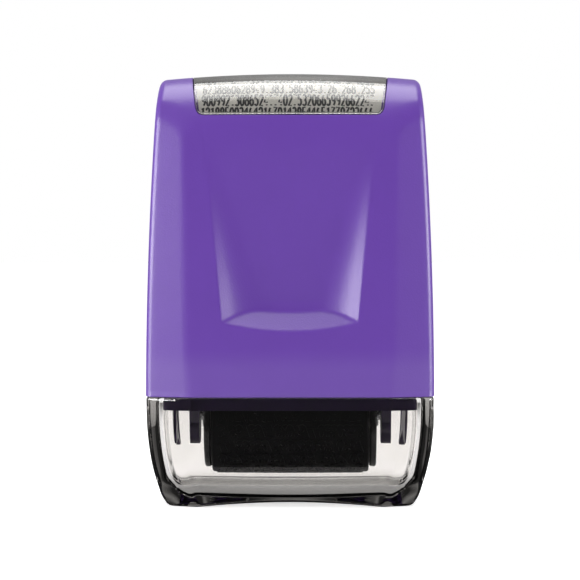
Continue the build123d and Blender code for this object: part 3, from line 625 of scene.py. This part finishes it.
def figure_places(width, length, pitch, line_pitch, seed):
    """Dense lines of figures over a field, each line shifted and each figure drawn at random
    with a fixed seed."""
    random = np.random.default_rng(seed)
    places = []
    for y in np.arange(0, length - line_pitch * 0.5, line_pitch):
        xs = np.arange(-width / 2, width / 2 - pitch, pitch) + random.uniform(0, pitch / 2)
        places += [(x, y, random.integers(0, 10)) for x in xs]
    return places


# -------- materials
def linear(code):
    """An sRGB hex colour such as "6F47B0" as linear red, green, blue and alpha."""
    parts = [int(code[i : i + 2], 16) / 255 for i in (0, 2, 4)]
    return [p / 12.92 if p <= 0.04045 else ((p + 0.055) / 1.055) ** 2.4 for p in parts] + [1.0]


def add(tree, kind, inputs=None, **settings):
    """Adds a shader node with its settings, and sets or links its inputs: a socket is linked, and
    so is the first output of a node."""
    made = tree.nodes.new("ShaderNode" + kind)
    for key, value in settings.items():
        setattr(made, key, value)
    for key, value in (inputs or {}).items():
        if isinstance(value, bpy.types.Node):
            value = value.outputs[0]
        if isinstance(value, bpy.types.NodeSocket):
            tree.links.new(value, made.inputs[key])
        else:
            made.inputs[key].default_value = value
    return made


def blank(name):
    """An empty node material, its tree and the place on the object that patterns follow."""
    material = bpy.data.materials.new(name)
    material.use_nodes = True
    tree = material.node_tree
    tree.nodes.clear()
    return material, tree, add(tree, "TexCoord").outputs["Object"]


def mixed(tree, colour, share, low, high):
    """A colour made lighter and darker with a pattern: multiplies it between low and high."""
    span = add(tree, "MapRange", {"Value": share, "To Min": low, "To Max": high})
    return add(
        tree, "Mix", {"Factor": 1.0, "A": colour, "B": span},
        data_type="RGBA", blend_type="MULTIPLY"
    ).outputs["Result"]


def moulded(name, colour, roughness, grain_mm, grain_depth_mm, painted_sheen=0.0, finish=None):
    """A moulded plastic: an even colour with faint flow clouds about 9 mm across, and a fine
    sparked or polished grain in the bump and the roughness.  One share paints a pale sheen, a
    painted highlight, over the base band below 30 mm, where that band catches more light."""
    material, tree, at = blank(name)
    flow = add(tree, "TexNoise", {"Vector": at, "Scale": 1 / 0.009, "Detail": 3.0})
    grain = add(tree, "TexNoise", {"Vector": at, "Scale": 1 / (grain_mm * MM), "Detail": 2.0})
    bump = add(tree, "Bump", {"Height": grain, "Distance": grain_depth_mm * MM, "Strength": 1.0})
    spread = {"Value": grain, "To Min": roughness - 0.05, "To Max": roughness + 0.05}
    rough = add(tree, "MapRange", spread)
    height = add(tree, "SeparateXYZ", {"Vector": at}).outputs["Z"]
    # Painted highlight: below 30 mm the colour is mixed towards a pale lilac white, standing in for
    # the light the base band catches
    fade = {"Value": height, "From Min": 32 * MM, "From Max": 27 * MM, "To Max": painted_sheen}
    painted_sheen_mask = add(tree, "MapRange", fade, interpolation_type="SMOOTHSTEP")
    clouds = mixed(tree, colour, flow, 0.96, 1.04)
    body = add(
        tree, "Mix", {"Factor": painted_sheen_mask, "A": clouds, "B": linear("F4F0FF")}, data_type="RGBA"
    ).outputs["Result"]
    surface = {"Base Color": body, "Roughness": rough, "Normal": bump, **(finish or {})}
    shader = add(tree, "BsdfPrincipled", surface)
    add(tree, "OutputMaterial", {"Surface": shader})
    return material


def clear_plastic(name, colour, ior, depth_colour, density):
    """A clear moulded plastic: smooth, with a faint ripple left by the mould 6 mm across, and a
    grey-brown cast where the eye looks along a wall.  The density is per metre."""
    material, tree, at = blank(name)
    ripple = add(tree, "TexNoise", {"Vector": at, "Scale": 1 / 0.006, "Detail": 1.0})
    bump = add(tree, "Bump", {"Height": ripple, "Distance": 0.02 * MM, "Strength": 1.0})
    tint = mixed(tree, colour, ripple, 0.98, 1.0)
    surface = {"Base Color": tint, "Roughness": 0.0, "IOR": ior, "Transmission Weight": 1.0}
    shader = add(tree, "BsdfPrincipled", {**surface, "Normal": bump})
    cast = add(tree, "VolumeAbsorption", {"Color": linear(depth_colour), "Density": density})
    add(tree, "OutputMaterial", {"Surface": shader, "Volume": cast})
    return material


def drawn_steel(name, colour):
    """Bright steel wire and pin stock: metal with fine draw lines along X, 0.15 mm apart."""
    material, tree, at = blank(name)
    stretched = add(tree, "Mapping", {"Vector": at, "Scale": (300.0, 6500.0, 6500.0)})
    lines = add(tree, "TexNoise", {"Vector": stretched, "Scale": 1.0, "Detail": 2.0})
    rough = add(tree, "MapRange", {"Value": lines, "To Min": 0.18, "To Max": 0.34})
    bump = add(tree, "Bump", {"Height": lines, "Distance": 0.003 * MM})
    tint = mixed(tree, colour, lines, 0.93, 1.0)
    surface = {"Base Color": tint, "Metallic": 1.0, "Roughness": rough, "Normal": bump}
    shader = add(tree, "BsdfPrincipled", surface)
    add(tree, "OutputMaterial", {"Surface": shader})
    return material


def ink_felt(name, colour):
    """Felt soaked with ink: dark, matt fibres in a tangle about 0.4 mm across, with wet spots."""
    material, tree, at = blank(name)
    tangle = {"Vector": at, "Scale": 1 / 0.0004, "Detail": 5.0, "Distortion": 1.5}
    fibre = add(tree, "TexNoise", tangle)
    wet = add(tree, "TexNoise", {"Vector": at, "Scale": 1 / 0.004, "Detail": 2.0})
    spots = {"Value": wet, "From Min": 0.35, "From Max": 0.65, "To Min": 0.35, "To Max": 0.9}
    rough = add(tree, "MapRange", spots)
    bump = add(tree, "Bump", {"Height": fibre, "Distance": 0.12 * MM})
    tint = mixed(tree, colour, fibre, 0.6, 1.3)
    surface = {"Base Color": tint, "Roughness": rough, "Normal": bump, "Sheen Weight": 0.3}
    shader = add(tree, "BsdfPrincipled", surface)
    add(tree, "OutputMaterial", {"Surface": shader})
    return material


# Each material: its maker, the name of its colour, and the maker's other values
FINISHES = {
    # Satin ABS: even purple with a painted pale sheen over the base band, soft highlights, a fine
    # sparked grain
    "case_abs": (moulded, "case", 0.32, 0.3, 0.025, 0.03, {"Specular IOR Level": 0.65}),
    # The chassis is a darker purple resin, its dark tone partly its own colour and partly painted
    # shade for the dim inside of the cap, and a little glossier
    "chassis_abs": (moulded, "chassis", 0.3, 0.25, 0.003),
    # General purpose polystyrene: clear, hard and glossy
    "lens_styrene": (clear_plastic, "lens", 1.49, "A09684", 25.0),
    "cap_styrene": (clear_plastic, "cap", 1.55, "8F8A84", 40.0),
    "card_board": (moulded, "card", 0.65, 0.12, 0.006),
    "card_ink": (moulded, "ink", 0.5, 0.12, 0.004),
    "cartridge_styrene": (moulded, "cartridge", 0.22, 0.4, 0.003),
    "stamp_rubber": (moulded, "rubber", 0.5, 0.3, 0.008, 0.0, {"Specular IOR Level": 0.08}),
    "core_abs": (moulded, "core", 0.4, 0.3, 0.005),
    "washer_nylon": (moulded, "nylon", 0.35, 0.3, 0.004, 0.0, {"Subsurface Weight": 0.2}),
    "bright_steel": (drawn_steel, "steel"),
    "wet_felt": (ink_felt, "felt"),
}
MATERIALS = {}


def material(key):
    """The named material, made from the scene's colours the first time it is asked for."""
    if key not in MATERIALS:
        maker, colour, *values = FINISHES[key]
        code = getattr(bpy.context.scene.stamp_colours, colour)
        MATERIALS[key] = maker(key, linear(code), *values)
    return MATERIALS[key]


def text_colour(name, description, default):
    """A colour property held as an sRGB hex code."""
    return bpy.props.StringProperty(name=name, description=description, default=default)


class StampColours(bpy.types.PropertyGroup):
    """Colours of the stamp's plastics, rubber and metal, as sRGB hex codes."""

    case: text_colour("Case", "Purple of the moulded case", "6640A4")
    # Dark purple: partly the fork's own colour, partly painted shade for the inside of the cap
    chassis: text_colour("Chassis", "Purple of the fork that holds the cartridge", "2E1D45")
    lens: text_colour("Lens", "Clear plastic of the window", "F8F7F4")
    cap: text_colour("Cap", "Clear plastic of the cap", "F2F0EE")
    card: text_colour("Card", "White of the printed card", "F1EFEA")
    ink: text_colour("Print", "Black of the printed figures", "15141A")
    cartridge: text_colour("Cartridge", "Black of the refill cartridge", "0B0A0C")
    rubber: text_colour("Rubber", "Black of the printing roller's sleeve", "080709")
    core: text_colour("Core", "Grey-black of the roller cores", "1C1B1F")
    nylon: text_colour("Nylon", "White of the washers and floating blocks", "E6E3DA")
    steel: text_colour("Steel", "Steel of the axles, clips and springs", "BCBDC0")
    felt: text_colour("Felt", "Ink roller's felt", "0C0B10")
    floor: text_colour("Floor", "Pale floor and backdrop", "FFFFFF")


def distance(name, description, default):
    """A length property in metres."""
    return bpy.props.FloatProperty(
        name=name, description=description, default=default, unit="LENGTH", subtype="DISTANCE"
    )


class StampSizes(bpy.types.PropertyGroup):
    """Sizes of the looks that the CAD leaves open."""

    figure_height: distance("Figure height", "Height of the printed figures", 2.9 * MM)
    figure_pitch: distance("Figure pitch", "From one printed figure to the next", 0.95 * MM)
    relief: distance("Relief", "How far the sleeve's figures stand up", 0.3 * MM)
    camera_distance: distance("Camera distance", "From the camera to the stamp", 0.5)


# -------- operators
class STAMP_OT_case(bpy.types.Operator):
    """Makes the purple case: one moulded skin with scoops, window recess and hollow"""

    bl_idname = "stamp.case"
    bl_label = "Case"

    def execute(self, context):
        skin = ring_mesh(case_points())
        make_piece("case_skin", skin, "case", "case_abs", ["case_shell"])
        return {"FINISHED"}


class STAMP_OT_window(bpy.types.Operator):
    """Makes the clear lens over the crown, the card under it and the figures printed on the card"""

    bl_idname = "stamp.window"
    bl_label = "Window, card and print"

    def execute(self, context):
        sizes = context.scene.stamp_sizes
        lens = saddle_sheet(LENS_GAP, 0.0, LENS_THICK, LENS_EDGE, 60, 60)
        make_piece("clear_lens", lens, "case", "lens_styrene", ["window_lens"])
        margin = LENS_GAP + CARD_MARGIN
        card = saddle_sheet(margin, CARD_TOP, CARD_THICK, CARD_EDGE, 40, 30)
        make_piece("pattern_card", card, "case", "card_board", ["imprint_card"])
        height, pitch = sizes.figure_height / MM, sizes.figure_pitch / MM
        low = station_at(WINDOW_LOW + margin) + PRINT_EDGE
        line_pitch = height + PRINT_GAP
        start = low - line_pitch * PRINT_CUT

        def onto_card(x, s, lift):
            over = s > CROWN_END
            s_front = np.clip(np.where(over, 2 * CROWN_END - s, s), low, None)
            point = case_point(x, s_front, case_drop(x, s_front) + CARD_TOP - lift)
            point[..., 1] *= np.where(over, -1, 1)
            return point

        width = 2 * (WINDOW_HALF - margin) - PRINT_STROKE
        length = 2 * (CROWN_END - start) + PRINT_GAP
        field = figure_places(width, length, pitch, line_pitch, PRINT_SEED)
        places = [(x, y + start, n) for x, y, n in field]
        ribbons = figure_ribbons(PRINT_WIDTH, height, PRINT_STROKE)
        levels = (PRINT_FOOT, PRINT_TOP, PRINT_TOP, PRINT_FOOT)
        print_mesh = figure_field(places, ribbons, onto_card, levels)
        make_piece("printed_figures", print_mesh, "case", "card_ink", merge=0.0)
        return {"FINISHED"}


class STAMP_OT_cap(bpy.types.Operator):
    """Makes the thick clear cap with its two feet and grip pads"""

    bl_idname = "stamp.cap"
    bl_label = "Clear cap"

    def execute(self, context):
        clear = ring_mesh(cap_points())
        make_piece("clear_cap", clear, "cap_body", "cap_styrene", ["cap"])
        return {"FINISHED"}


class STAMP_OT_sleeve(bpy.types.Operator):
    """Makes the rubber sleeve of the printing roller, with raised figures all round it"""

    bl_idname = "stamp.sleeve"
    bl_label = "Printing sleeve"

    def execute(self, context):
        sizes = context.scene.stamp_sizes
        relief = sizes.relief / MM
        base = ROLLER - relief
        turn = np.linspace(0, 2 * np.pi, ROLLER_STEPS + 1)[:-1]
        half, edge, bore = ROLLER_HALF, SLEEVE_EDGE, ROLLER - SLEEVE
        profile = np.array(
            [
                (-half, bore), (-half, base - edge), (-half + edge, base), (half - edge, base),
                (half, base - edge), (half, bore), (-half, bore),
            ]
        )
        x, radius = profile[:, :1], profile[:, 1:]
        rings = [x + 0 * turn, radius * np.cos(turn), AXLE_Z + radius * np.sin(turn)]
        body_points, body_faces = ring_mesh(np.stack(rings, -1))

        def onto_roller(x, y, lift):
            angle = y / ROLLER
            radius = base + lift
            return np.stack([x, radius * np.cos(angle), AXLE_Z + radius * np.sin(angle)], -1)

        around, width = 2 * np.pi * ROLLER, 2 * half - RELIEF_WIDTH
        places = figure_places(width, around, RELIEF_PITCH, around / RELIEF_LINES, RELIEF_SEED)
        height = sizes.figure_height / MM * RELIEF_HEIGHT
        ribbons = figure_ribbons(RELIEF_WIDTH, height, RELIEF_STROKE)
        levels = (RELIEF_FOOT, relief - RELIEF_UNDER, relief - RELIEF_UNDER, RELIEF_FOOT)
        points, quads = figure_field(places, ribbons, onto_roller, levels)
        points = np.concatenate([body_points, points])
        faces = np.concatenate([body_faces, quads + len(body_points)])
        make_piece(
            "figure_sleeve", (points, faces), "print_roller", "stamp_rubber",
            ["print_sleeve"], merge=0.0005
        )
        return {"FINISHED"}


class STAMP_OT_mechanism(bpy.types.Operator):
    """Gives the chassis, cartridge, cores, axles and springs their finishes, and the springs meshes
    of their own"""

    bl_idname = "stamp.mechanism"
    bl_label = "Mechanism"

    def execute(self, context):
        finishes = {
            "chassis_abs": ["roller_chassis"],
            "cartridge_styrene": ["cartridge_frame", "cartridge_cover"],
            "core_abs": ["print_roller_core", "ink_roller_core"],
            "washer_nylon": [
                "axle_spacer_left", "axle_spacer_right", "ink_bearing_left", "ink_bearing_right",
            ],
            "bright_steel": [
                "print_axle", "ink_axle", "axle_clip_left", "axle_clip_right",
                "pressure_spring_left", "pressure_spring_right",
            ],
            "wet_felt": ["ink_roller_felt"],
        }
        for key, names in finishes.items():
            for name in names:
                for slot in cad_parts[name].material_slots:
                    slot.material = material(key)
        for name in ("pressure_spring_left", "pressure_spring_right"):
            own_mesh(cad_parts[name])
        return {"FINISHED"}


class STAMP_OT_stage(bpy.types.Operator):
    """Makes the pale floor, the soft boxes, the white surroundings and the camera"""

    bl_idname = "stamp.stage"
    bl_label = "Stage, light and camera"

    def execute(self, context):
        scene = context.scene
        scene.view_settings.view_transform = "Standard"
        floor_and_backdrop()
        for lamp in LAMPS:
            soft_box(*lamp)
        world_light()
        camera(scene.stamp_sizes.camera_distance)
        return {"FINISHED"}


def ray_shares(tree):
    """Four shares of the light path, each one or zero: seen straight from the camera; seen
    straight through clear plastic; mirrored on a surface; and mirrored inside clear plastic."""
    path = add(tree, "LightPath").outputs
    undiffused = add(tree, "Math", {0: path["Diffuse Depth"], 1: 0.5}, operation="LESS_THAN")
    glossed = add(tree, "Math", {0: path["Glossy Depth"], 1: 0.5}, operation="GREATER_THAN")
    unmirrored = add(tree, "Math", {0: undiffused, 1: glossed}, operation="SUBTRACT")
    direct = add(tree, "Math", {0: unmirrored, 1: 0.5}, operation="GREATER_THAN")
    through = add(tree, "Math", {0: path["Is Transmission Ray"], 1: direct}, operation="MULTIPLY")
    mirrored = add(tree, "Math", {0: glossed, 1: undiffused}, operation="MULTIPLY")
    inside = add(tree, "Math", {0: path["Transmission Depth"], 1: mirrored}, operation="MINIMUM")
    return path["Is Camera Ray"], through, mirrored, inside


def floor_and_backdrop():
    """A pale floor that keeps the stamp's shadow.  It glows where the eye sees it, also through
    plastic, and is hidden from mirrors and, at both sides, from bent rays."""
    mesh = bpy.data.meshes.new("floor")
    reach, drop = 3.0, -0.02 * MM
    corners = [(-reach, -reach), (reach, -reach), (reach, reach), (-reach, reach)]
    mesh.from_pydata([(x, y, drop) for x, y in corners], [], [(0, 1, 2, 3)])
    floor = placed("floor", mesh)
    # Uncoated white paper, matt, with fibres 2 mm long
    paper, tree, at = blank("floor_paper")
    colour = linear(bpy.context.scene.stamp_colours.floor)
    fibre = add(tree, "TexNoise", {"Vector": at, "Scale": 1 / 0.002, "Detail": 2.0})
    base = mixed(tree, colour, fibre, 0.97, 1.0)
    finish = {"Base Color": base, "Roughness": 0.8, "Specular IOR Level": 0.1}
    shader = add(tree, "BsdfPrincipled", finish)
    seen, through, mirrored, inside = ray_shares(tree)
    place = add(tree, "SeparateXYZ", {"Vector": at}).outputs
    behind = add(tree, "Math", {0: place["Y"], 1: BEHIND_Y}, operation="GREATER_THAN")
    kept = add(tree, "Math", {0: inside, 1: behind}, operation="MULTIPLY")
    glow = add(tree, "Math", {0: through, 1: THROUGH_GLOW}, operation="MULTIPLY")
    for share, strength in ((seen, SEEN_GLOW), (kept, INSIDE_GLOW)):
        glow = add(tree, "Math", {0: share, 1: strength, 2: glow}, operation="MULTIPLY_ADD")
    white = add(tree, "Emission", {"Color": colour, "Strength": glow})
    both = add(tree, "AddShader", {0: shader, 1: white})
    shown = add(tree, "MapRange", {"Value": kept, "To Min": MIRROR_HIDES, "To Max": INSIDE_HIDES})
    dim = add(tree, "Math", {0: mirrored, 1: shown}, operation="MULTIPLY")
    aside = add(tree, "Math", {0: place["X"]}, operation="ABSOLUTE")
    edges = {"From Min": PAPER_FLAG_START, "From Max": PAPER_FLAG_END, "To Max": PAPER_FLAG}
    flags = add(tree, "MapRange", {"Value": aside, **edges})
    bent = add(tree, "Math", {0: through, 1: inside}, operation="MAXIMUM")
    flagged = add(tree, "Math", {0: bent, 1: flags}, operation="MULTIPLY")
    hidden = add(tree, "Math", {0: dim, 1: flagged}, operation="MAXIMUM")
    mix = add(tree, "MixShader", {0: hidden, 1: both})
    add(tree, "OutputMaterial", {"Surface": mix})
    mesh.materials.append(paper)


def direction(azimuth, elevation):
    """The unit vector towards an azimuth, counted from the front to the right, and an elevation."""
    a, e = math.radians(azimuth), math.radians(elevation)
    return Vector((math.sin(a) * math.cos(e), -math.cos(a) * math.cos(e), math.sin(e)))


def soft_box(name, azimuth, elevation, size, power):
    """A rectangular soft light aimed at the middle of the stamp.  Clear plastic shows only the
    one overhead."""
    light = bpy.data.lights.new(name, "AREA")
    light.shape, light.size, light.size_y, light.energy = "RECTANGLE", *size, power
    lamp = placed(name, light)
    back = direction(azimuth, elevation)
    lamp.location = Vector((0, 0, LAMP_AIM)) + back * LAMP_DISTANCE
    lamp.rotation_euler = (-back).to_track_quat("-Z", "Y").to_euler()
    lamp.visible_transmission = elevation > 45


def world_light():
    """White where it is seen.  Otherwise a light tent, open in front and a little to the right,
    so that the panel mirrors a dim room.  Rays mirrored inside the clear plastic find black flags
    on both sides of the backdrop."""
    world = bpy.data.worlds.new("surroundings")
    bpy.context.scene.world = world
    world.use_nodes = True
    tree = world.node_tree
    tree.nodes.clear()
    seen, through, _, inside = ray_shares(tree)
    toward = add(tree, "TexCoord").outputs["Generated"]
    opening = direction(OPENING_AZIMUTH, 0)[:2] + (OPENING_RISE,)
    off = add(tree, "VectorMath", {0: toward, 1: opening}, operation="DOT_PRODUCT").outputs["Value"]
    sweep = {"From Min": OPENING_START, "From Max": OPENING_END, "To Min": OPENING, "To Max": TENT}
    walls = add(tree, "MapRange", {"Value": off, **sweep}, interpolation_type="SMOOTHSTEP")
    across = add(tree, "SeparateXYZ", {"Vector": toward}).outputs["X"]
    aside = add(tree, "Math", {0: across}, operation="ABSOLUTE")
    edges = {"From Min": FLAG_START, "From Max": FLAG_END, "To Min": INNER}
    flags = add(tree, "MapRange", {"Value": aside, **edges, "To Max": FLAG_SHARE * INNER})
    dimmed = add(tree, "Math", {0: walls, 1: flags}, operation="MULTIPLY")
    bent = add(tree, "MapRange", {"Value": inside, "To Min": walls, "To Max": dimmed})
    plain = add(tree, "Math", {0: seen, 1: through}, operation="MAXIMUM")
    strength = add(tree, "MapRange", {"Value": plain, "To Min": bent, "To Max": 1.0})
    light = add(tree, "Background", {"Color": (1, 1, 1, 1), "Strength": strength})
    add(tree, "OutputWorld", {"Surface": light})


def camera(distance):
    """The camera at the photograph's angle: a long lens, level, a little to one side."""
    data = bpy.data.cameras.new("camera")
    eye = placed("camera", data)
    back = direction(AZIMUTH, ELEVATION)
    eye.location = Vector((0, 0, AIM_Z)) + back * distance
    eye.rotation_euler = (-back).to_track_quat("-Z", "Y").to_euler()
    eye.rotation_euler.rotate_axis("Z", math.radians(ROLL))
    data.sensor_width = 36.0
    data.lens = data.sensor_width * SCALE / MM * (distance - PANEL_Y) / PICTURE
    data.shift_x, data.shift_y = (shift / PICTURE for shift in SHIFT)
    bpy.context.scene.camera = eye


class STAMP_PT_panel(bpy.types.Panel):
    """Lists the steps that dress the stamp, with their sizes and colours"""

    bl_idname = "STAMP_PT_panel"
    bl_label = "Privacy roller stamp"
    bl_space_type = "VIEW_3D"
    bl_region_type = "UI"
    bl_category = "Stamp"

    def draw(self, context):
        for step_class in STEPS:
            self.layout.operator(step_class.bl_idname)
        for group in (context.scene.stamp_sizes, context.scene.stamp_colours):
            for key in group.__annotations__:
                self.layout.prop(group, key)


STEPS = (
    STAMP_OT_case, STAMP_OT_window, STAMP_OT_cap, STAMP_OT_sleeve, STAMP_OT_mechanism, STAMP_OT_stage,
)
CLASSES = (StampColours, StampSizes, *STEPS, STAMP_PT_panel)


def register():
    for made in CLASSES:
        bpy.utils.register_class(made)
    bpy.types.Scene.stamp_colours = bpy.props.PointerProperty(type=StampColours)
    bpy.types.Scene.stamp_sizes = bpy.props.PointerProperty(type=StampSizes)


def unregister():
    del bpy.types.Scene.stamp_sizes, bpy.types.Scene.stamp_colours
    for made in reversed(CLASSES):
        bpy.utils.unregister_class(made)


def main():
    """Registers the add-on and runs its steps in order."""
    register()
    for made in STEPS:
        group, name = made.bl_idname.split(".")
        getattr(getattr(bpy.ops, group), name)()


if __name__ == "__main__":
    main()
